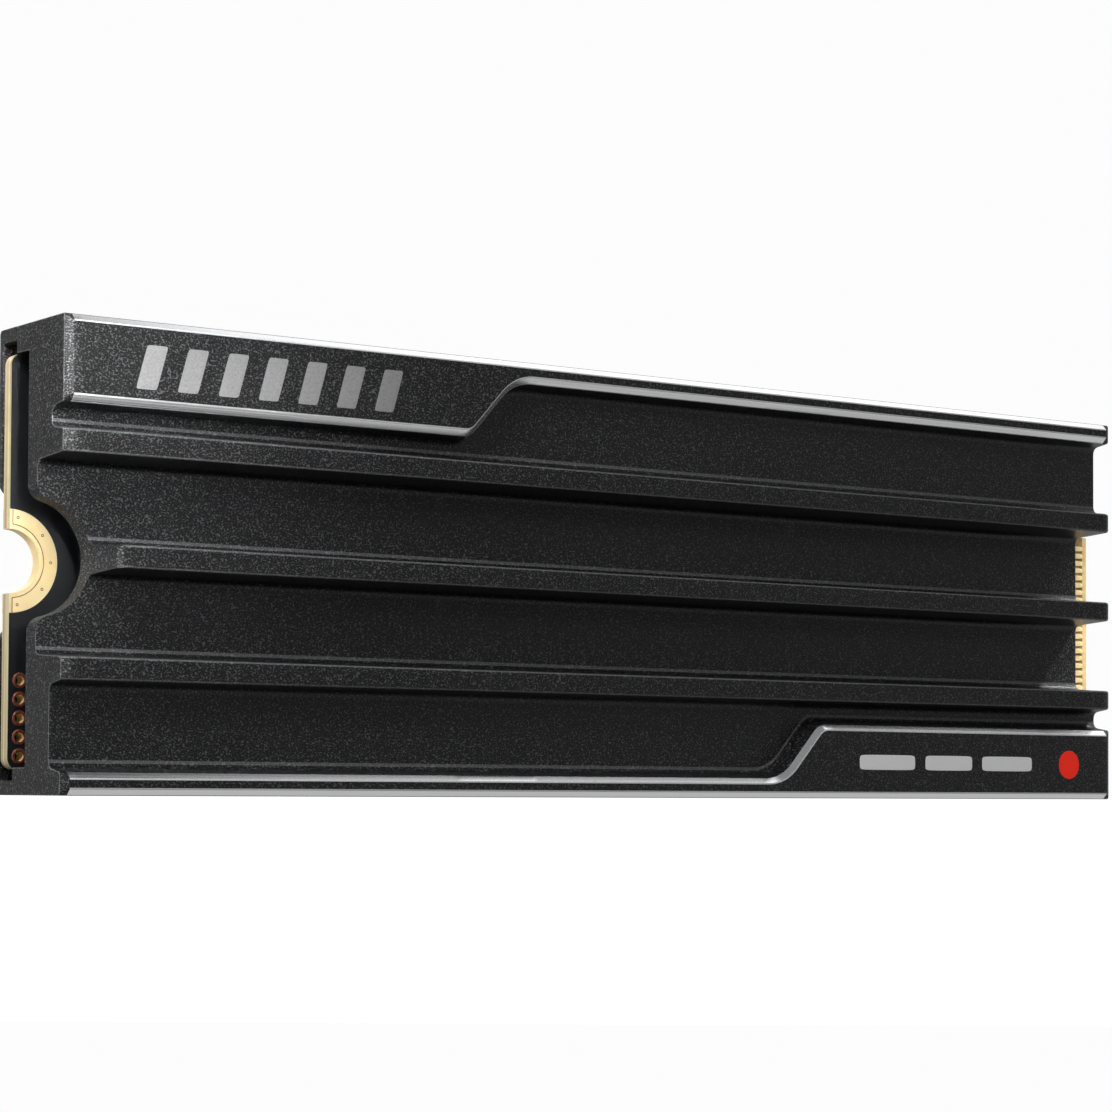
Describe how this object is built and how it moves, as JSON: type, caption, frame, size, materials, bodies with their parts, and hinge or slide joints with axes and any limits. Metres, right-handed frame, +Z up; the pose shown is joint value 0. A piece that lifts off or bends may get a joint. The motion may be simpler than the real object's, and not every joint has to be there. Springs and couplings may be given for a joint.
{
  "type": "solid state drive",
  "caption": "Slim notched storage card in a finned black metal cooler, with a gold edge connector at one end and a half-round screw notch at the other.",
  "frame": {"origin": "middle of the foot: the card stands on its long edge, and the origin is under the centre of its box", "axes": "+X along the card from the screw notch to the edge connector; +Y from the finned face to the back plate; +Z up across the card's width"},
  "size_m": [0.08, 0.008, 0.0247],
  "materials": {
    "black_aluminium": "fine-grained black anodised",
    "black_board": "satin black solder mask on glass fibre board",
    "gold_plate": "thin bright gold plating",
    "bare_copper": "copper, slightly dull",
    "package_black": "moulded black epoxy",
    "tin": "satin tin solder",
    "carrier_green": "green laminate",
    "nickel_lid": "satin nickel",
    "ferrite": "pressed ferrite, matt",
    "ceramic_tan": "fired ceramic",
    "pad_grey": "soft filled silicone",
    "label_grey": "matt film label"
  },
  "bodies": {
    "root": {"heatsink": "black_aluminium", "back_plate": "black_aluminium", "circuit_board": "black_board", "contacts_front": "gold_plate", "contacts_back": "gold_plate", "screw_ring_front": "gold_plate", "screw_ring_back": "gold_plate", "screw_notch_lining": "gold_plate", "test_hole_linings": "bare_copper", "flash_near_notch": "package_black", "flash_middle": "package_black", "flash_balls": "tin", "controller_carrier": "carrier_green", "controller_lid": "nickel_lid", "controller_balls": "tin", "buffer_memory": "package_black", "buffer_balls": "tin", "power_chip": "package_black", "power_coils": "ferrite", "coil_ends": "tin", "capacitors": "ceramic_tan", "capacitor_ends": "tin", "tank_capacitors": "ceramic_tan", "tank_ends": "tin", "resistors": "package_black", "resistor_ends": "tin", "crystal": "nickel_lid", "pad_flash": "pad_grey", "pad_controller": "pad_grey", "pad_back": "pad_grey", "back_label": "label_grey"}
  },
  "joints": []
}
